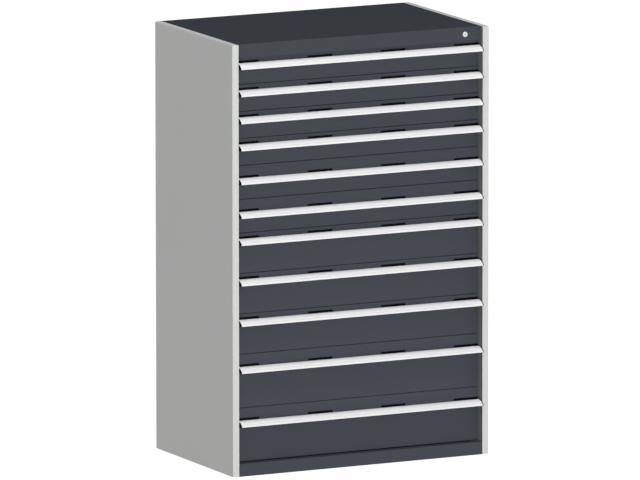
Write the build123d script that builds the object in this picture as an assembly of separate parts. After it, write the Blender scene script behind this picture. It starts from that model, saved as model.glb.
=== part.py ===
from build123d import *
import math
import os

# Workshop drawer cabinet with eleven full-extension drawers and a central lock.
# Millimetres, +Z up, front towards -Y, origin on the floor at the middle of the housing's footprint.

# Housing
cabinet_width = 1050
cabinet_depth = 650
header_height = 52
base_height = 48
side_depth = 25
sheet = 1.2
panel_bend = 2.5
overrun = 10

# Drawers from the top down: the strip of a front above its handle, and the panel below
narrow_strip = 12.5
wide_strip = 37.5
short_panel = 87.5
middle_panel = 137.5
tall_panel = 162.5
drawer_stack = [
    (narrow_strip, short_panel),
    (narrow_strip, short_panel),
    (narrow_strip, short_panel),
    (narrow_strip, short_panel),
    (wide_strip, short_panel),
    (wide_strip, short_panel),
    (narrow_strip, middle_panel),
    (narrow_strip, middle_panel),
    (narrow_strip, middle_panel),
    (wide_strip, tall_panel),
    (wide_strip, tall_panel),
]

# Top cover and its apron
apron_recess = 17
apron_return = 14

# Rear panel, base panel and plinth
rear_recess = 3
rear_return = 20
base_rise = 36
plinth_gap = 1.2
plinth_return = 34
anchor_inset = 75
anchor_hole = 11

# Uprights
upright_width = 120
upright_wall = 2

# Drawer fronts
front_recess = 38
front_gap = 1.3
front_side_gap = 1.5
front_return = 20
front_bend = 2
slot_length = 100
slot_pitch = 300
slot_height = 12

# Handle profile, measured forward from the drawer front and down from the slots' upper edge
ridge_reach = 18
ridge_drop = 5.6
saddle_drop = 14
lip_reach = 51
lip_drop = 26
lip_height = 5.5
skin_bulge = 1.2
handle_wall = 2
cap_thickness = 4
handle_side_gap = 1.5

# Trays
runner_space = 36
tray_drop = 16
tray_lift = 4
tray_rear_room = 83.4
tray_hem = 6

# Telescopic runners
rail_start = 82
rail_length = 510
rail_depth = 14
rail_height = 40
rail_wall = 2
rail_rise = 10
travel = 525
beam_height = 30
beam_flange = 2
beam_web = 3
beam_end_gap = 3
ball_clearance = 0.3
ball_strip_width = 8.5
ball_strip_margin = 4

# Lock in the apron
lock_inset = 65.5
lock_drop = 27.5
bezel_radius = 10
bezel_thickness = 3.5
bezel_chamfer = 1
housing_radius = 8.4
housing_reach = 33
lock_fit = 0.15
nut_radius = 15
nut_thickness = 4
plug_radius = 6.5
plug_sink = 0.6
plug_reach = 39
keyway_width = 1.8
keyway_height = 8
keyway_depth = 6

# Cam that lifts the locking bar, at its unlocked rest
crank_radius = 8.5
crank_rest_angle = -45
cam_hub_radius = 7
cam_tip_radius = 4.5
cam_thickness = 3
cam_pin_radius = 2.5
cam_pin_length = 7
cam_slot_clearance = 0.6

# Locking bar, its guides and the catches on the drawers
lift = 12
lock_bar_inset = 4.4
lock_bar_thickness = 2.5
lock_bar_width = 16
lock_bar_gap = 3
lock_bar_foot = 12
arm_margin = 5
arm_half_height = 11
catch_drop = 26
catch_half = 4
catch_clearance = 1
catch_plate = 2
catch_plate_height = 16
catch_plate_margin = 6
guide_height = 12
guide_wall = 2
guide_clearance = 0.4
guide_drop = 4

# Values worked out from the sizes above
half_width = cabinet_width / 2
opening = half_width - side_depth
y_front = -cabinet_depth / 2
y_rear = cabinet_depth / 2
rear_face = y_rear - rear_recess
stack_height = sum(strip + panel for strip, panel in drawer_stack)
cabinet_height = header_height + stack_height + base_height
apron_y = y_front + apron_recess
apron_z = cabinet_height - header_height
face_y = y_front + front_recess
front_half = opening - front_side_gap
tray_half = opening - runner_space
tray_y0 = face_y + sheet
tray_y1 = y_rear - tray_rear_room
rail_y0 = y_front + rail_start
rail_y1 = rail_y0 + rail_length
beam_middle = opening - runner_space / 2
beam_width = runner_space - 2 * (rail_wall + beam_end_gap)
lock_x = opening - lock_inset
lock_z = cabinet_height - lock_drop
lock_bar_x0 = opening - lock_bar_inset
lock_bar_x1 = lock_bar_x0 + lock_bar_thickness
lock_bar_y0 = face_y + front_return + lock_bar_gap
lock_bar_y1 = lock_bar_y0 + lock_bar_width
catch_y = (lock_bar_y0 + lock_bar_y1) / 2
crank_x = lock_x + crank_radius * math.cos(math.radians(crank_rest_angle))
crank_z = lock_z + crank_radius * math.sin(math.radians(crank_rest_angle))
cam_y0 = apron_y + plug_reach
cam_y1 = cam_y0 + cam_thickness


def drawer_places():
    """Top, handle height and bottom of each drawer's space, from the top down."""
    top = cabinet_height - header_height
    places = []
    for strip, panel in drawer_stack:
        grip = top - strip
        bottom = grip - panel
        places.append((top, grip, bottom))
        top = bottom
    return places


def block(xs, ys, zs):
    """Rectangular block between two places on each axis."""
    size = [high - low for low, high in (xs, ys, zs)]
    middle = [(high + low) / 2 for low, high in (xs, ys, zs)]
    return Pos(*middle) * Box(*size)


def pan(solid, open_faces):
    """Folded sheet: the skin of a block, open at some of its faces."""
    return offset(solid, amount=-sheet, openings=open_faces)


def rod(radius, ys, x, z):
    """Round rod along Y."""
    low, high = ys
    return Pos(x, (low + high) / 2, z) * Rot(X=90) * Cylinder(radius, high - low)


def channel(place, depth, height, wall, length):
    """C section with its web on the place and its mouth along the place's x."""
    outer = Pos(depth / 2, 0) * Rectangle(depth, height)
    hollow = Pos(wall + depth / 2, 0) * Rectangle(depth, height - 2 * wall)
    return extrude(place * (outer - hollow), length)


def mirrored(solid):
    """The same piece on the other side of the cabinet."""
    return mirror(solid, about=Plane.YZ)


# Housing panels

def right_side_panel():
    body = block((opening, half_width), (y_front, y_rear), (0, cabinet_height))
    body = fillet(body.faces().sort_by(Axis.X)[-1].edges(), panel_bend)
    return pan(body, body.faces().sort_by(Axis.X)[0])


def top_cover():
    body = block((-opening, opening), (apron_y, y_rear), (apron_z, cabinet_height))
    top = body.faces().sort_by(Axis.Z)[-1]
    bends = top.edges().sort_by(Axis.Y)[:-1]
    body = fillet(bends, panel_bend)
    openings = [body.faces().sort_by(Axis.Z)[0], body.faces().sort_by(Axis.Y)[-1]]
    cover = pan(body, openings)
    rear_room = (rear_face - rear_return, y_rear + overrun)
    cover -= block((-half_width, half_width), rear_room, (0, cabinet_height - sheet))
    cover += block((-opening, opening), (apron_y, apron_y + apron_return), (apron_z, apron_z + sheet))
    lock_hole = rod(housing_radius + lock_fit, (apron_y - overrun, apron_y + overrun), lock_x, lock_z)
    return cover - lock_hole


def rear_panel():
    body = block((-opening, opening), (rear_face - rear_return, rear_face), (0, cabinet_height - sheet))
    return pan(body, body.faces().sort_by(Axis.Y)[0])


def base_panel():
    ys = (y_front + sheet, rear_face - rear_return)
    body = block((-opening, opening), ys, (0, base_rise))
    base = pan(body, body.faces().sort_by(Axis.Z)[-1])
    spacing_x = cabinet_width - 2 * anchor_inset
    spacing_y = cabinet_depth - 2 * anchor_inset
    for place in GridLocations(spacing_x, spacing_y, 2, 2):
        base -= place * Cylinder(anchor_hole / 2, overrun)
    return base


def plinth_panel():
    top = base_height - plinth_gap
    outer = block((-opening, opening), (y_front, y_front + plinth_return), (0, top))
    outer = fillet(outer.edges().filter_by(Axis.X).sort_by(Axis.Y)[:2].sort_by(Axis.Z)[-1:], panel_bend)
    ends = outer.faces().sort_by(Axis.X)
    openings = [ends[0], ends[-1], outer.faces().sort_by(Axis.Y)[-1], outer.faces().sort_by(Axis.Z)[0]]
    return pan(outer, openings)


# Uprights inside the side panels

def right_upright(y0):
    place = Plane(origin=(opening, y0 + upright_width / 2, sheet), x_dir=(1, 0, 0), z_dir=(0, 0, 1))
    depth = side_depth - panel_bend
    return channel(place, depth, upright_width, upright_wall, cabinet_height - 2 * sheet)


def right_uprights():
    front_post = right_upright(y_front + sheet)
    rear_post = right_upright(y_rear - sheet - upright_width)
    return [front_post, rear_post]


# Telescopic runners

def rail_middle(bottom):
    """Height of a drawer's runners."""
    return bottom + tray_lift + rail_rise + rail_height / 2


def right_cabinet_rail(bottom):
    origin = (opening, rail_y0, rail_middle(bottom))
    place = Plane(origin=origin, x_dir=(-1, 0, 0), z_dir=(0, 1, 0))
    return channel(place, rail_depth, rail_height, rail_wall, rail_length)


def right_drawer_rail(bottom):
    origin = (tray_half, rail_y0, rail_middle(bottom))
    place = Plane(origin=origin, x_dir=(1, 0, 0), z_dir=(0, 1, 0))
    return channel(place, rail_depth, rail_height, rail_wall, tray_y1 - rail_y0)


def right_runner(bottom):
    """I beam between the two rails, with ball strips on its flanges where they stay in a rail."""
    z = rail_middle(bottom)
    pocket_width = (beam_width - beam_web) / 2
    pocket_middle = (beam_width - pocket_width) / 2
    section = Rectangle(beam_width, beam_height)
    for place in GridLocations(2 * pocket_middle, 0, 2, 1):
        section -= place * Rectangle(pocket_width, beam_height - 2 * beam_flange)
    start = Plane(origin=(beam_middle, rail_y0, z), x_dir=(1, 0, 0), z_dir=(0, 1, 0))
    runner = extrude(start * section, rail_length)
    inner_end = beam_middle - beam_width / 2
    outer_end = beam_middle + beam_width / 2
    inner_xs = (inner_end, inner_end + ball_strip_width)
    outer_xs = (outer_end - ball_strip_width, outer_end)
    inner_ys = (rail_y0 + ball_strip_margin, tray_y1 - travel / 2 - ball_strip_margin)
    outer_ys = (rail_y0 + travel / 2 + ball_strip_margin, rail_y1 - ball_strip_margin)
    reach = rail_height / 2 - rail_wall - ball_clearance
    for xs, ys in ((inner_xs, inner_ys), (outer_xs, outer_ys)):
        runner += block(xs, ys, (z + beam_height / 2, z + reach))
        runner += block(xs, ys, (z - reach, z - beam_height / 2))
    return runner


# Drawers

def drawer_front(top, grip, bottom):
    """Folded front with a row of slots above its handle."""
    zs = (bottom + front_gap / 2, top - front_gap / 2)
    body = block((-front_half, front_half), (face_y, face_y + front_return), zs)
    body = fillet(body.faces().sort_by(Axis.Y)[0].edges().filter_by(Axis.X), front_bend)
    front = pan(body, body.faces().sort_by(Axis.Y)[-1])
    for place in GridLocations(slot_pitch, 0, 4, 1):
        x = place.position.X
        span = (x - slot_length / 2, x + slot_length / 2)
        front -= block(span, (face_y - overrun, face_y + sheet), (grip - slot_height, grip))
    return front + catch(grip)


def catch(grip):
    """Plate behind the front, with the lug that the locking bar holds."""
    z = grip - catch_drop
    plate_x1 = lock_bar_x0 - catch_clearance
    plate_ys = (face_y + sheet, catch_y + catch_plate_margin)
    plate_zs = (z - catch_plate_height / 2, z + catch_plate_height / 2)
    plate = block((plate_x1 - catch_plate, plate_x1), plate_ys, plate_zs)
    lug_ys = (catch_y - catch_half, catch_y + catch_half)
    return plate + block((plate_x1, lock_bar_x1), lug_ys, (z - catch_half, z + catch_half))


def handle_section():
    """Closed roof shape of the handle, x forward from the drawer front, y up from the handle's height."""
    saddle = (0, -saddle_drop)
    ridge = (ridge_reach, -ridge_drop)
    bend = (lip_reach, lip_height - lip_drop)
    lip = (lip_reach, -lip_drop)
    heel = (0, -lip_drop)
    middle = (Vector(*ridge) + Vector(*bend)) / 2
    chord = Vector(*bend) - Vector(*ridge)
    outward = Vector(-chord.Y, chord.X).normalized() * skin_bulge
    skin = ThreePointArc(ridge, middle + outward, bend)
    outline = [Line(heel, saddle), Line(saddle, ridge), skin, Line(bend, lip), Line(lip, heel)]
    return make_face(outline)


def drawer_handle(grip_z):
    """Extruded profile between two end caps."""
    half = opening - handle_side_gap
    grip_half = half - cap_thickness
    roof = handle_section()
    hollow = offset(roof, -handle_wall, kind=Kind.INTERSECTION)
    mouth_width = lip_reach - 2 * handle_wall
    mouth = Pos(lip_reach / 2, -lip_drop) * Rectangle(mouth_width, 2 * handle_wall)
    profile = roof - hollow - mouth
    place = Plane(origin=(grip_half, face_y, grip_z), x_dir=(0, -1, 0), z_dir=(-1, 0, 0))
    grip = extrude(place * profile, 2 * grip_half)
    end = Plane(origin=(half, face_y, grip_z), x_dir=(0, -1, 0), z_dir=(-1, 0, 0))
    cap = extrude(end * roof, cap_thickness)
    return [grip, cap, mirrored(cap)]


def drawer_tray(grip, bottom):
    floor = bottom + tray_lift
    rim = grip - tray_drop
    body = block((-tray_half, tray_half), (tray_y0, tray_y1), (floor, rim))
    box = pan(body, body.faces().sort_by(Axis.Z)[-1])
    hem_half = tray_half + tray_hem
    hem = block((-hem_half, hem_half), (tray_y0, tray_y1 + tray_hem), (rim - sheet, rim))
    hem -= block((sheet - tray_half, tray_half - sheet), (tray_y0 - overrun, tray_y1 - sheet), (floor, rim))
    return box + hem


# Lock

def lock_housing():
    face = apron_y - bezel_thickness
    bezel = rod(bezel_radius, (face, apron_y), lock_x, lock_z)
    bezel = chamfer(bezel.edges().sort_by(Axis.Y)[:1], bezel_chamfer)
    barrel = rod(housing_radius, (apron_y, apron_y + housing_reach), lock_x, lock_z)
    bore = rod(plug_radius + lock_fit, (face - overrun, apron_y + housing_reach + overrun), lock_x, lock_z)
    return bezel + barrel - bore


def lock_nut():
    back = apron_y + sheet
    place = Plane(origin=(lock_x, back, lock_z), x_dir=(1, 0, 0), z_dir=(0, 1, 0))
    ring = RegularPolygon(nut_radius, 6) - Circle(housing_radius + lock_fit)
    return extrude(place * ring, nut_thickness)


def lock_plug():
    face = apron_y - bezel_thickness + plug_sink
    plug = rod(plug_radius, (face, cam_y0), lock_x, lock_z)
    slot_xs = (lock_x - keyway_width / 2, lock_x + keyway_width / 2)
    slot_zs = (lock_z - keyway_height / 2, lock_z + keyway_height / 2)
    return plug - block(slot_xs, (face - overrun, face + keyway_depth), slot_zs)


def lock_cam():
    """Cam plate on the plug, with the crank pin that lifts the bar."""
    place = Plane(origin=(0, cam_y1, 0), x_dir=(1, 0, 0), z_dir=(0, -1, 0))
    hub = Pos(lock_x, lock_z) * Circle(cam_hub_radius)
    tip = Pos(crank_x, crank_z) * Circle(cam_tip_radius)
    plate = extrude(place * make_hull(hub.edges() + tip.edges()), cam_thickness)
    return plate + rod(cam_pin_radius, (cam_y1, cam_y1 + cam_pin_length), crank_x, crank_z)


def locking_bar():
    """Flat bar with a hooked slot for each drawer's lug, and an arm to the cam."""
    arm_zs = (crank_z - arm_half_height, crank_z + arm_half_height)
    xs = (lock_bar_x0, lock_bar_x1)
    bar = block(xs, (lock_bar_y0, lock_bar_y1), (base_height + lock_bar_foot, arm_zs[1]))
    arm_ys = (lock_bar_y0, lock_bar_y0 + lock_bar_thickness)
    bar += block((lock_x - arm_margin, lock_bar_x1), arm_ys, arm_zs)
    room = catch_half + catch_clearance
    cut_xs = (lock_bar_x0 - overrun, lock_bar_x1 + overrun)
    for top, grip, bottom in drawer_places():
        z = grip - catch_drop
        bar -= block(cut_xs, (lock_bar_y0 - overrun, catch_y + room), (z - room, z + room))
        bar -= block(cut_xs, (catch_y - room, catch_y + room), (z - lift - room, z + room))
    slot_room = cam_pin_radius + cam_slot_clearance
    slot_xs = (crank_x - slot_room, lock_x + crank_radius + slot_room)
    slot_ys = (lock_bar_y0 - overrun, lock_bar_y0 + overrun)
    return bar - block(slot_xs, slot_ys, (crank_z - slot_room, crank_z + slot_room))


def bar_guides():
    """Blocks on the front upright, at every fourth drawer, that the bar slides in."""
    room = guide_clearance + guide_wall
    guides = []
    for top, grip, bottom in drawer_places()[2::4]:
        z = grip - guide_drop
        zs = (z - guide_height / 2, z + guide_height / 2)
        hole_xs = (lock_bar_x0 - guide_clearance, lock_bar_x1 + guide_clearance)
        hole_ys = (lock_bar_y0 - guide_clearance, lock_bar_y1 + guide_clearance)
        outer_ys = (lock_bar_y0 - room, lock_bar_y1 + room)
        hole_zs = (z - guide_height, z + guide_height)
        guides.append(block((lock_bar_x0 - room, opening), outer_ys, zs) - block(hole_xs, hole_ys, hole_zs))
    return guides


def build_nodes():
    """Every node by name, as a list of its solids."""
    places = drawer_places()
    right_posts = right_uprights()
    right_rails = [right_cabinet_rail(bottom) for top, grip, bottom in places]
    right_panel = right_side_panel()
    nodes = {
        "left_side_panel": [mirrored(right_panel)],
        "right_side_panel": [right_panel],
        "top_cover": [top_cover()],
        "rear_panel": [rear_panel()],
        "base_panel": [base_panel()],
        "plinth_panel": [plinth_panel()],
        "left_uprights": [mirrored(post) for post in right_posts],
        "right_uprights": right_posts,
        "left_rails": [mirrored(rail) for rail in right_rails],
        "right_rails": right_rails,
        "lock_housing": [lock_housing()],
        "lock_nut": [lock_nut()],
        "lock_plug": [lock_plug()],
        "lock_cam": [lock_cam()],
        "locking_bar": [locking_bar()],
        "bar_guides": bar_guides(),
    }
    for number, (top, grip, bottom) in enumerate(places, start=1):
        name = f"drawer_{number:02d}"
        rail = right_drawer_rail(bottom)
        runner = right_runner(bottom)
        nodes[f"{name}_front"] = [drawer_front(top, grip, bottom)]
        nodes[f"{name}_handle"] = drawer_handle(grip)
        nodes[f"{name}_tray"] = [drawer_tray(grip, bottom), rail, mirrored(rail)]
        nodes[f"{name}_runners"] = [runner, mirrored(runner)]
    return nodes


os.makedirs("parts", exist_ok=True)
for node, pieces in build_nodes().items():
    solids = [solid for piece in pieces for solid in piece.solids()]
    shape = solids[0] if len(solids) == 1 else Compound(solids)
    export_step(shape, f"parts/{node}.step")
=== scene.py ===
import math

import bpy
import bmesh
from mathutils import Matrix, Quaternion, Vector


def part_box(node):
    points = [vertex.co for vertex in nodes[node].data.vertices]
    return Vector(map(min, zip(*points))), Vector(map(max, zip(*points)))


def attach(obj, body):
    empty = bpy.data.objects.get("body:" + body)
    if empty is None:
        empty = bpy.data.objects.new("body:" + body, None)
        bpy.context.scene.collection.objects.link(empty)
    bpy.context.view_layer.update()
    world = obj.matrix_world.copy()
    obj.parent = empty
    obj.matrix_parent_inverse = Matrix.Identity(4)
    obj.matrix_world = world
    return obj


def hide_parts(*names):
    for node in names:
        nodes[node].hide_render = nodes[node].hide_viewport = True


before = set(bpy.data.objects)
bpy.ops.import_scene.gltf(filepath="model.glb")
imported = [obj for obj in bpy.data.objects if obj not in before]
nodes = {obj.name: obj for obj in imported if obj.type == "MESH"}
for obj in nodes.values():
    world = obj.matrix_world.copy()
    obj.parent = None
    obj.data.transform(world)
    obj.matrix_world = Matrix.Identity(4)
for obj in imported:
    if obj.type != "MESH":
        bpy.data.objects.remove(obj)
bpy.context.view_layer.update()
scene = bpy.context.scene
DRAWER_COUNT = 11
DRAWERS = [f"drawer_{number:02d}" for number in range(1, DRAWER_COUNT + 1)]


# Shader building

X, Y, Z = range(3)
NOISE_LOW = 0.3
NOISE_HIGH = 0.7
FINE_DETAIL = 2.0
# Sockets of a mix node that count when it mixes colours
MIX_SHARE, MIX_FIRST, MIX_SECOND, MIX_RESULT = 0, 6, 7, 2


def new_material(name):
    """A material, its tree, its shader, and the place on the object that the textures follow."""
    material = bpy.data.materials.new(name)
    material.use_nodes = True
    tree = material.node_tree
    place = tree.nodes.new("ShaderNodeTexCoord").outputs["Object"]
    return material, tree, tree.nodes["Principled BSDF"], place


def noise(tree, place, scale, detail=FINE_DETAIL, stretch=(1.0, 1.0, 1.0)):
    mapping = tree.nodes.new("ShaderNodeMapping")
    mapping.inputs["Scale"].default_value = stretch
    tree.links.new(place, mapping.inputs["Vector"])
    grain = tree.nodes.new("ShaderNodeTexNoise")
    grain.inputs["Scale"].default_value = scale
    grain.inputs["Detail"].default_value = detail
    tree.links.new(mapping.outputs["Vector"], grain.inputs["Vector"])
    return grain.outputs["Fac"]


def spread(tree, grain, low, high):
    """Maps the middle of a noise to a range of values."""
    node = tree.nodes.new("ShaderNodeMapRange")
    node.inputs["From Min"].default_value = NOISE_LOW
    node.inputs["From Max"].default_value = NOISE_HIGH
    node.inputs["To Min"].default_value = low
    node.inputs["To Max"].default_value = high
    tree.links.new(grain, node.inputs["Value"])
    return node.outputs["Result"]


def tint(tree, grain, colour, darker, lighter):
    """A colour that a noise makes darker and lighter, each by a share."""
    node = tree.nodes.new("ShaderNodeMix")
    node.data_type = "RGBA"
    for socket, factor in ((MIX_FIRST, 1.0 - darker), (MIX_SECOND, 1.0 + lighter)):
        node.inputs[socket].default_value = (*[channel * factor for channel in colour], 1.0)
    tree.links.new(spread(tree, grain, 0.0, 1.0), node.inputs[MIX_SHARE])
    return node.outputs[MIX_RESULT]


def bump(tree, grain, depth, strength):
    node = tree.nodes.new("ShaderNodeBump")
    node.inputs["Strength"].default_value = strength
    node.inputs["Distance"].default_value = depth
    tree.links.new(grain, node.inputs["Height"])
    return node.outputs["Normal"]


def connect(tree, shader, colours, roughness, relief):
    tree.links.new(colours, shader.inputs["Base Color"])
    tree.links.new(roughness, shader.inputs["Roughness"])
    tree.links.new(relief, shader.inputs["Normal"])


CLOUD_SCALE = 4.0
CLOUD_DETAIL = 4.0
CLOUD_TONE = 0.01
PEEL_SCALE = 1100.0
PEEL_ROUGHNESS = 0.05
PEEL_DEPTH = 0.00004
PEEL_STRENGTH = 0.5


def powder_coat(name, colour, roughness, specular):
    """Satin powder coat: a fine peel in relief and gloss, with slow changes of tone."""
    material, tree, shader, place = new_material(name)
    cloud = noise(tree, place, CLOUD_SCALE, CLOUD_DETAIL)
    peel = noise(tree, place, PEEL_SCALE)
    colours = tint(tree, cloud, colour, CLOUD_TONE, CLOUD_TONE)
    gloss = spread(tree, peel, roughness - PEEL_ROUGHNESS, roughness + PEEL_ROUGHNESS)
    connect(tree, shader, colours, gloss, bump(tree, peel, PEEL_DEPTH, PEEL_STRENGTH))
    shader.inputs["Specular IOR Level"].default_value = specular
    return material


LINE_SCALE = 1500.0
LINE_DETAIL = 3.0
LINE_STRETCH = 0.02
LINE_DARKER = 0.04
LINE_LIGHTER = 0.03
LINE_DEPTH = 0.00002
LINE_STRENGTH = 0.5
HAZE_SCALE = 9.0
HAZE_DETAIL = 3.0
HAZE_SMOOTHER = 0.04
HAZE_ROUGHER = 0.06


def drawn_metal(name, colour, roughness, metallic, along):
    """Metal with fine drawing lines along one axis, and slow changes of gloss."""
    material, tree, shader, place = new_material(name)
    stretch = tuple(LINE_STRETCH if axis == along else 1.0 for axis in (X, Y, Z))
    lines = noise(tree, place, LINE_SCALE, LINE_DETAIL, stretch)
    haze = noise(tree, place, HAZE_SCALE, HAZE_DETAIL)
    colours = tint(tree, lines, colour, LINE_DARKER, LINE_LIGHTER)
    gloss = spread(tree, haze, roughness - HAZE_SMOOTHER, roughness + HAZE_ROUGHER)
    connect(tree, shader, colours, gloss, bump(tree, lines, LINE_DEPTH, LINE_STRENGTH))
    shader.inputs["Metallic"].default_value = metallic
    return material


SPARK_SCALE = 2200.0
SPARK_TONE = 0.15
SPARK_ROUGHNESS = 0.06
SPARK_DEPTH = 0.00003
SPARK_STRENGTH = 0.6


def moulded_plastic(name, colour, roughness, specular, tone=SPARK_TONE):
    """Fine spark texture of a moulded piece, in tone, gloss and relief."""
    material, tree, shader, place = new_material(name)
    spark = noise(tree, place, SPARK_SCALE)
    colours = tint(tree, spark, colour, tone, tone)
    gloss = spread(tree, spark, roughness - SPARK_ROUGHNESS, roughness + SPARK_ROUGHNESS)
    connect(tree, shader, colours, gloss, bump(tree, spark, SPARK_DEPTH, SPARK_STRENGTH))
    shader.inputs["Specular IOR Level"].default_value = specular
    return material


# Materials

housing_paint = powder_coat("housing_paint", (0.63, 0.64, 0.625), roughness=0.55, specular=0.25)
# The housing grey darkened for the side panels' up-facing faces: painted shade for less light on top
top_edge_painted_shade = powder_coat("top_edge_painted_shade", (0.536, 0.544, 0.531), roughness=0.55, specular=0.25)
anthracite_paint = powder_coat("anthracite_paint", (0.0465, 0.0518, 0.0645), roughness=0.6, specular=0.2)
# The anthracite darkened for the apron: painted shade, so it matches fronts lying in the handles' shadow
apron_painted_shade = powder_coat("apron_painted_shade", (0.0415, 0.0462, 0.0575), roughness=0.6, specular=0.2)
cover_paint = powder_coat("cover_paint", (0.0472, 0.0535, 0.0648), roughness=0.75, specular=0.002)
upright_paint = powder_coat("upright_paint", (0.175, 0.183, 0.173), roughness=0.6, specular=0.2)
tray_paint = powder_coat("tray_paint", (0.60, 0.61, 0.60), roughness=0.5, specular=0.3)
aluminium = drawn_metal("anodised_aluminium", (0.84, 0.845, 0.85), roughness=0.42, metallic=0.1, along=X)
label_card = moulded_plastic("label_card", (0.94, 0.94, 0.935), roughness=0.45, specular=0.5, tone=0.012)
zinc = drawn_metal("zinc_plate", (0.55, 0.57, 0.60), roughness=0.38, metallic=0.9, along=Y)
chrome = drawn_metal("satin_chrome", (0.63, 0.645, 0.67), roughness=0.3, metallic=1.0, along=Z)
# Near black: the caps' and guides' own black, darkened further as painted shade for the tubs behind the
# slots
black_plastic = moulded_plastic("black_plastic", (0.004, 0.004, 0.0042), roughness=0.6, specular=0.05)
roller_nylon = moulded_plastic("roller_nylon", (0.06, 0.06, 0.062), roughness=0.45, specular=0.4)


# Finish of the frame's nodes

SHEET = 0.0012
FRONT_RETURN = 0.02
CATCH_LEFT = 0.4925
CATCH_RIGHT = 0.4972
TRAY_HALF = 0.464
BEAM_HALF = 0.015
# A face counts as past a limit when its centre lies this far beyond it
MARGIN = 0.0001
# A face looks up when its normal rises by more than this
UPWARD = 0.5


def dress(name, material, *others):
    """Gives a node its material, and the faces that a test picks another one."""
    mesh = nodes[name].data
    mesh.materials.clear()
    mesh.materials.append(material)
    for face in mesh.polygons:
        face.material_index = 0
    for index, (other, test) in enumerate(others, start=1):
        mesh.materials.append(other)
        for face in mesh.polygons:
            if test(face.center, face.normal):
                face.material_index = index


def faces_up(centre, normal):
    return normal.z > UPWARD


def dress_drawer(drawer):
    """Paints a front and a tray but for the catch and the rails on them, and dresses the runners."""
    face_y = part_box(f"{drawer}_front")[0].y
    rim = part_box(f"{drawer}_tray")[1].z
    runners_low, runners_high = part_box(f"{drawer}_runners")
    runners_middle = (runners_low.z + runners_high.z) / 2

    def in_catch(centre, normal):
        depth = centre.y - face_y
        in_plate = CATCH_LEFT < centre.x < CATCH_RIGHT and depth > SHEET + MARGIN
        return in_plate or depth > FRONT_RETURN + MARGIN

    def in_rail(centre, normal):
        return abs(centre.x) > TRAY_HALF + MARGIN and centre.z < rim - SHEET - MARGIN

    def on_ball_strip(centre, normal):
        return abs(centre.z - runners_middle) > BEAM_HALF + MARGIN

    dress(f"{drawer}_front", anthracite_paint, (zinc, in_catch))
    dress(f"{drawer}_tray", tray_paint, (zinc, in_rail))
    dress(f"{drawer}_runners", zinc, (roller_nylon, on_ball_strip))


# The side panels' up-facing faces take the darkened housing grey, which is painted shade
for name in ("left_side_panel", "right_side_panel"):
    dress(name, housing_paint, (top_edge_painted_shade, faces_up))
dress("rear_panel", housing_paint)
# The apron takes the darkened anthracite, which is painted shade; the cover's up-facing faces take the
# cover paint
dress("top_cover", apron_painted_shade, (cover_paint, faces_up))
for name in ("base_panel", "plinth_panel"):
    dress(name, anthracite_paint)
for name in ("left_uprights", "right_uprights"):
    dress(name, upright_paint)
for name in ("left_rails", "right_rails", "lock_nut", "lock_cam", "locking_bar"):
    dress(name, zinc)
for name in ("lock_housing", "lock_plug"):
    dress(name, chrome)
dress("bar_guides", black_plastic)
for drawer in DRAWERS:
    dress_drawer(drawer)


# Building of the detail pieces

SHARP_ANGLE = 35.0
ARC_STEPS = 4


def add_piece(name, mesh_data, materials, body):
    """Makes an object of a bmesh, smooth but for its sharp edges."""
    mesh = bpy.data.meshes.new(name)
    bmesh.ops.recalc_face_normals(mesh_data, faces=mesh_data.faces)
    mesh_data.to_mesh(mesh)
    mesh_data.free()
    for material in materials:
        mesh.materials.append(material)
    for face in mesh.polygons:
        face.use_smooth = True
    mesh.set_sharp_from_angle(angle=math.radians(SHARP_ANGLE))
    piece = bpy.data.objects.new(name, mesh)
    scene.collection.objects.link(piece)
    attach(piece, body)
    return piece


def cross(first, second):
    return first.x * second.y - first.y * second.x


def inset(outline, amount):
    """A convex outline, which runs clockwise, moved inwards."""
    count = len(outline)
    sides = []
    for index in range(count):
        start = Vector(outline[index])
        along = (Vector(outline[(index + 1) % count]) - start).normalized()
        inwards = Vector((along.y, -along.x))
        sides.append((start + inwards * amount, along))
    moved = []
    for index in range(count):
        (start, along), (next_start, next_along) = sides[index - 1], sides[index]
        step = cross(next_start - start, next_along) / cross(along, next_along)
        moved.append(start + along * step)
    return moved


def rounded(outline, radii):
    """An outline whose corners with a radius become arcs."""
    points = []
    count = len(outline)
    for index, (corner, radius) in enumerate(zip(outline, radii)):
        corner = Vector(corner)
        if radius == 0.0:
            points.append(corner)
            continue
        before = (Vector(outline[index - 1]) - corner).normalized()
        after = (Vector(outline[(index + 1) % count]) - corner).normalized()
        half = before.angle(after) / 2.0
        reach = radius / math.tan(half)
        middle = corner + (before + after).normalized() * (radius / math.sin(half))
        spoke = corner + before * reach - middle
        turn = spoke.angle_signed(corner + after * reach - middle)
        for step in range(ARC_STEPS + 1):
            angle = -turn * step / ARC_STEPS
            cos, sin = math.cos(angle), math.sin(angle)
            points.append(middle + Vector((spoke.x * cos - spoke.y * sin, spoke.x * sin + spoke.y * cos)))
    return points


def extruded(mesh_data, rings, material_index):
    """Closes a row of equal rings of points into one skin, with flat ends."""
    loops = [[mesh_data.verts.new(point) for point in ring] for ring in rings]
    count = len(loops[0])
    faces = [mesh_data.faces.new(loops[0]), mesh_data.faces.new(loops[-1][::-1])]
    for low, high in zip(loops, loops[1:]):
        for index in range(count):
            after = (index + 1) % count
            faces.append(mesh_data.faces.new((low[after], low[index], high[index], high[after])))
    for face in faces:
        face.material_index = material_index


# Handles: points lie forward of the drawer's face, and above the upper edge of its slots

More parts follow.
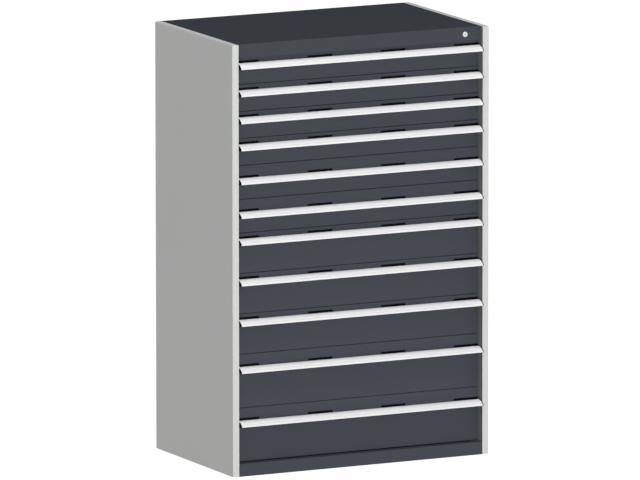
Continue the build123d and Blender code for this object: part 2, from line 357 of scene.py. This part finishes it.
LIP_DROP = 0.026
LIP_HEIGHT = 0.0055
SADDLE_DROP = 0.014
RIDGE_REACH = 0.018
handle_low, handle_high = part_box("drawer_01_handle")
LIP = (handle_high.y - handle_low.y, -LIP_DROP)
BEND = (LIP[0], LIP_HEIGHT - LIP_DROP)
RIDGE = (RIDGE_REACH, handle_high.z - handle_low.z - LIP_DROP)
SADDLE = (0.0, -SADDLE_DROP)
HEEL = (0.0, -LIP_DROP)
SKIN_BULGE = 0.0034
SKIN_STEPS = 10
WALL = 0.002
SADDLE_RADIUS = 0.001
RIDGE_RADIUS = 0.0012
BEND_RADIUS = 0.0008
LIP_RADIUS = 0.0006
# The label strip's ends as shares of the skin, and its heights above its groove's floor
LABEL_START_SHARE = 0.16
LABEL_END_SHARE = 0.80
LABEL_GAP = 0.0003
LABEL_GROOVE = 0.0007
LABEL_TOP = 0.00045
LABEL_BOTTOM = 0.00005
CAP = 0.004
CAP_BEVEL = 0.0006
CAP_BACK = (0.0, 0.0)
CAP_MEETS_SHARE = 0.3
HANDLE_METAL, HANDLE_LABEL, HANDLE_CAP = range(3)


def skin_point(share, sink):
    """A point on the handle's skin, a parabola from the ridge to the bend, or sunk below it."""
    ridge, bend = Vector(RIDGE), Vector(BEND)
    along = bend - ridge
    outward = Vector((-along.y, along.x)).normalized()
    bulge = SKIN_BULGE * 4.0 * share * (1.0 - share)
    return ridge + along * share + outward * (bulge - sink)


def skin_run(start, end, sink=0.0):
    return [skin_point(start + (end - start) * step / SKIN_STEPS, sink) for step in range(SKIN_STEPS + 1)]


def handle_section():
    """The open aluminium section, with a groove for the label strip in its skin."""
    skin = skin_run(0.0, LABEL_START_SHARE)[1:]
    skin += skin_run(LABEL_START_SHARE, LABEL_END_SHARE, LABEL_GROOVE)
    skin += skin_run(LABEL_END_SHARE, 1.0)[:-1]
    solid = [HEEL, SADDLE, RIDGE] + skin_run(0.0, 1.0)[1:-1] + [BEND, LIP]
    inner = inset(solid, WALL)[1:-1]
    lip_foot = (LIP[0] - WALL, LIP[1])
    heel_foot = (WALL, HEEL[1])
    outline = [HEEL, SADDLE, RIDGE] + skin + [BEND, LIP, lip_foot] + inner[::-1] + [heel_foot]
    radii = [0.0, SADDLE_RADIUS, RIDGE_RADIUS] + [0.0] * len(skin)
    radii += [BEND_RADIUS, LIP_RADIUS, LIP_RADIUS] + [0.0] * (len(inner) + 1)
    return rounded(outline, radii)


def label_section():
    gap = LABEL_GAP / (Vector(BEND) - Vector(RIDGE)).length
    start, end = LABEL_START_SHARE + gap, LABEL_END_SHARE - gap
    top = skin_run(start, end, LABEL_GROOVE - LABEL_TOP)
    bottom = skin_run(start, end, LABEL_GROOVE - LABEL_BOTTOM)
    return top + bottom[::-1]


def cap_section():
    """The end cap, whose straight upper edge runs from the drawer's face to the skin."""
    return [HEEL, CAP_BACK] + skin_run(CAP_MEETS_SHARE, 1.0)[:-1] + [BEND, LIP]


def grip(drawer):
    """The handle: an aluminium section with a label strip let into its skin, between two end caps."""
    low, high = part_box(f"{drawer}_handle")
    slot_top = low.z + LIP_DROP

    def ring(points, x):
        return [(x, high.y - forward, slot_top + up) for forward, up in points]

    mesh_data = bmesh.new()
    for section, index in ((handle_section(), HANDLE_METAL), (label_section(), HANDLE_LABEL)):
        extruded(mesh_data, [ring(section, low.x + CAP), ring(section, high.x - CAP)], index)
    cap = cap_section()
    bevelled = inset(cap, CAP_BEVEL)
    for outer, inward in ((low.x, 1.0), (high.x, -1.0)):
        inner, edge = outer + inward * CAP, outer + inward * CAP_BEVEL
        extruded(mesh_data, [ring(cap, inner), ring(cap, edge), ring(bevelled, outer)], HANDLE_CAP)
    materials = (aluminium, label_card, black_plastic)
    piece = add_piece(f"{drawer}_grip", mesh_data, materials, drawer)
    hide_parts(f"{drawer}_handle")


# Slotted strips for dividers

STRIP_THICKNESS = 0.0022
STRIP_TOP = 0.009
STRIP_EDGE = 0.006
STRIP_SLOT = 0.028
STRIP_END = 0.02
SLOT_WIDTH = 0.003
SLOT_PITCH = 0.025


def upright_sheet(mesh_data, faces_x, ys, zs, holes):
    """An upright sheet between two faces and between cross lines, open at some of its cells."""
    corners = {}

    def corner(column, row, face):
        if (column, row, face) not in corners:
            corners[column, row, face] = mesh_data.verts.new((faces_x[face], ys[column], zs[row]))
        return corners[column, row, face]

    cells = {(column, row) for column in range(len(ys) - 1) for row in range(len(zs) - 1)} - holes
    for column, row in sorted(cells):
        after, above = column + 1, row + 1
        outline = [(column, row), (after, row), (after, above), (column, above)]
        for face in (0, 1):
            mesh_data.faces.new([corner(*point, face) for point in outline])
        neighbours = [(column, row - 1), (after, row), (column, above), (column - 1, row)]
        for start, end, neighbour in zip(outline, outline[1:] + outline[:1], neighbours):
            if neighbour not in cells:
                wall = (corner(*start, 0), corner(*end, 0), corner(*end, 1), corner(*start, 1))
                mesh_data.faces.new(wall)


def slot_strips(drawer):
    """A slotted strip for dividers on each side wall of the tray."""
    low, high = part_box(f"{drawer}_tray")
    start, end = low.y + STRIP_END, high.y - STRIP_END
    count = int((end - start) / SLOT_PITCH)
    first = (start + end - (count - 1) * SLOT_PITCH) / 2
    ys = [start]
    for number in range(count):
        middle = first + number * SLOT_PITCH
        ys += [middle - SLOT_WIDTH / 2, middle + SLOT_WIDTH / 2]
    ys.append(end)
    top = high.z - STRIP_TOP
    zs = [top - 2 * STRIP_EDGE - STRIP_SLOT, top - STRIP_EDGE - STRIP_SLOT, top - STRIP_EDGE, top]
    holes = {(2 * number + 1, 1) for number in range(count)}
    wall = TRAY_HALF - SHEET
    mesh_data = bmesh.new()
    for side in (-1.0, 1.0):
        upright_sheet(mesh_data, (side * wall, side * (wall - STRIP_THICKNESS)), ys, zs, holes)
    add_piece(f"{drawer}_slot_strips", mesh_data, (tray_paint,), drawer)


# Near-black tubs behind the slots of the drawer fronts, painted shade of the drawer's dark inside

FRONT_SLOTS = (-0.45, -0.15, 0.15, 0.45)
FRONT_SLOT_HALF = 0.0503
FRONT_SLOT_HEIGHT = 0.012
SHADE_TUB_FLANGE = 0.003
SHADE_TUB_WALL = 0.0012
SHADE_TUB_DEPTH = 0.014
SHADE_TUB_END_GAP = 0.0005


def slot_ring(left, right, top, margin, y):
    """A slot's outline with a margin around it, at one depth."""
    bottom = top - FRONT_SLOT_HEIGHT - margin
    left, right, top = left - margin, right + margin, top + margin
    return [(left, y, bottom), (right, y, bottom), (right, y, top), (left, y, top)]


def slot_shade_tubs(drawer):
    """A near-black tub behind each slot of the drawer's front: a dark sheet that stands in for the shade
    inside the drawer.
    """
    low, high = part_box(f"{drawer}_front")
    slot_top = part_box(f"{drawer}_handle")[0].z + LIP_DROP
    back = low.y + SHEET
    limit = high.x - SHEET - SHADE_TUB_END_GAP - SHADE_TUB_FLANGE
    profile = [
        (0.0, back + SHADE_TUB_DEPTH - SHADE_TUB_WALL),
        (0.0, back),
        (SHADE_TUB_FLANGE, back),
        (SHADE_TUB_FLANGE, back + SHADE_TUB_WALL),
        (SHADE_TUB_WALL, back + SHADE_TUB_WALL),
        (SHADE_TUB_WALL, back + SHADE_TUB_DEPTH),
    ]
    mesh_data = bmesh.new()
    for middle in FRONT_SLOTS:
        left, right = max(middle - FRONT_SLOT_HALF, -limit), min(middle + FRONT_SLOT_HALF, limit)
        extruded(mesh_data, [slot_ring(left, right, slot_top, margin, y) for margin, y in profile], 0)
    add_piece(f"{drawer}_slot_shade_tubs", mesh_data, (black_plastic,), drawer)


for drawer in DRAWERS:
    grip(drawer)
    slot_strips(drawer)
    # Near-black tubs behind the front slots, which are painted shade
    slot_shade_tubs(drawer)


# Studio

# Azimuth and elevation of the photograph's view, in degrees
VIEW = (-26.4132, 9.7633)
AMBIENT = 0.255
REAR_FILL = 0.8
WHITE = (1.0, 1.0, 1.0, 1.0)
FLOOR_HALF = 90.0
FLOOR_DROP = 0.0004
FLOOR_BOUNCE = 0.5
FLOOR_TONE = 0.7
FLOOR_GLOW = 0.71
LAMP_AIM = (0.0, 0.0, 0.8)


def back_vector(azimuth, elevation):
    """From the object towards an azimuth and an elevation in degrees."""
    turn, rise = math.radians(azimuth), math.radians(elevation)
    return Vector((math.sin(turn) * math.cos(rise), -math.cos(turn) * math.cos(rise), math.sin(rise)))


def math_node(tree, operation, *values):
    """The result of one operation on sockets or plain numbers."""
    node = tree.nodes.new("ShaderNodeMath")
    node.operation = operation
    for socket, value in zip(node.inputs, values):
        if isinstance(value, float):
            socket.default_value = value
        else:
            tree.links.new(value, socket)
    return node.outputs[0]


def viewing_rays(tree):
    """One where the camera, a reflection or a transmission looks, and zero where light is gathered."""
    path = tree.nodes.new("ShaderNodeLightPath").outputs
    seen = math_node(tree, "MAXIMUM", path["Is Camera Ray"], path["Is Glossy Ray"])
    return math_node(tree, "MAXIMUM", seen, path["Is Transmission Ray"])


def studio_world():
    """White to look at, with even light from all sides and more of it from behind the object."""
    scene.world = bpy.data.worlds.new("studio")
    scene.world.use_nodes = True
    tree = scene.world.node_tree
    towards_rear = tree.nodes.new("ShaderNodeVectorMath")
    towards_rear.operation = "DOT_PRODUCT"
    towards_rear.inputs[1].default_value = -back_vector(*VIEW)
    direction = tree.nodes.new("ShaderNodeTexCoord").outputs["Generated"]
    tree.links.new(direction, towards_rear.inputs[0])
    rear_only = math_node(tree, "MAXIMUM", towards_rear.outputs["Value"], 0.0)
    fill = math_node(tree, "MULTIPLY_ADD", rear_only, REAR_FILL, AMBIENT)
    strength = tree.nodes.new("ShaderNodeMapRange")
    strength.inputs["To Max"].default_value = 1.0
    tree.links.new(fill, strength.inputs["To Min"])
    tree.links.new(viewing_rays(tree), strength.inputs["Value"])
    background = tree.nodes["Background"]
    background.inputs["Color"].default_value = WHITE
    tree.links.new(strength.outputs["Result"], background.inputs["Strength"])


def diffuse(tree, tone):
    node = tree.nodes.new("ShaderNodeBsdfDiffuse")
    node.inputs["Color"].default_value = (tone, tone, tone, 1.0)
    return node.outputs[0]


def floor_finish():
    """Grey where it returns light to the object; to look at, almost white with a faint shadow."""
    material = bpy.data.materials.new("pale_floor")
    material.use_nodes = True
    tree = material.node_tree
    tree.nodes.remove(tree.nodes["Principled BSDF"])
    glow = tree.nodes.new("ShaderNodeEmission")
    glow.inputs["Strength"].default_value = FLOOR_GLOW
    seen = tree.nodes.new("ShaderNodeAddShader")
    tree.links.new(diffuse(tree, FLOOR_TONE), seen.inputs[0])
    tree.links.new(glow.outputs[0], seen.inputs[1])
    choice = tree.nodes.new("ShaderNodeMixShader")
    tree.links.new(viewing_rays(tree), choice.inputs[0])
    tree.links.new(diffuse(tree, FLOOR_BOUNCE), choice.inputs[1])
    tree.links.new(seen.outputs[0], choice.inputs[2])
    tree.links.new(choice.outputs[0], tree.nodes["Material Output"].inputs["Surface"])
    return material


def studio_floor():
    corners = [(-1, -1), (1, -1), (1, 1), (-1, 1)]
    points = [(x * FLOOR_HALF, y * FLOOR_HALF, -FLOOR_DROP) for x, y in corners]
    mesh = bpy.data.meshes.new("floor")
    mesh.from_pydata(points, [], [(0, 1, 2, 3)])
    mesh.materials.append(floor_finish())
    floor = bpy.data.objects.new("floor", mesh)
    scene.collection.objects.link(floor)


def area_light(name, azimuth, elevation, distance, width, height, power):
    """A lamp that faces the object and that the camera doesn't see."""
    lamp = bpy.data.lights.new(name, "AREA")
    lamp.shape = "RECTANGLE"
    lamp.size = width
    lamp.size_y = height
    lamp.energy = power
    light = bpy.data.objects.new(name, lamp)
    back = back_vector(azimuth, elevation)
    light.location = Vector(LAMP_AIM) + back * distance
    light.rotation_mode = "QUATERNION"
    light.rotation_quaternion = back.to_track_quat("Z", "Y")
    light.visible_camera = False
    scene.collection.objects.link(light)


studio_world()
studio_floor()
area_light("key", azimuth=-15.0, elevation=10.0, distance=40.0, width=10.0, height=5.0, power=10500.0)
area_light("top", azimuth=-20.0, elevation=60.0, distance=12.0, width=5.0, height=3.0, power=330.0)


# Camera at the photograph's angle

LENS = 720.0
SENSOR_WIDTH = 36.0
CLIP_START = 1.0
CLIP_END = 300.0
CAMERA_TARGET = (-0.0202, -0.025, 0.7974)
CAMERA_DISTANCE = 47.215
CAMERA_ROLL = -0.048

camera_data = bpy.data.cameras.new("camera")
camera_data.lens = LENS
camera_data.sensor_width = SENSOR_WIDTH
camera_data.clip_start = CLIP_START
camera_data.clip_end = CLIP_END
camera = bpy.data.objects.new("camera", camera_data)
scene.collection.objects.link(camera)
back = back_vector(*VIEW)
camera.location = Vector(CAMERA_TARGET) + back * CAMERA_DISTANCE
camera.rotation_mode = "QUATERNION"
roll = Quaternion((0.0, 0.0, 1.0), math.radians(CAMERA_ROLL))
camera.rotation_quaternion = back.to_track_quat("Z", "Y") @ roll
scene.camera = camera
scene.view_settings.view_transform = "Standard"
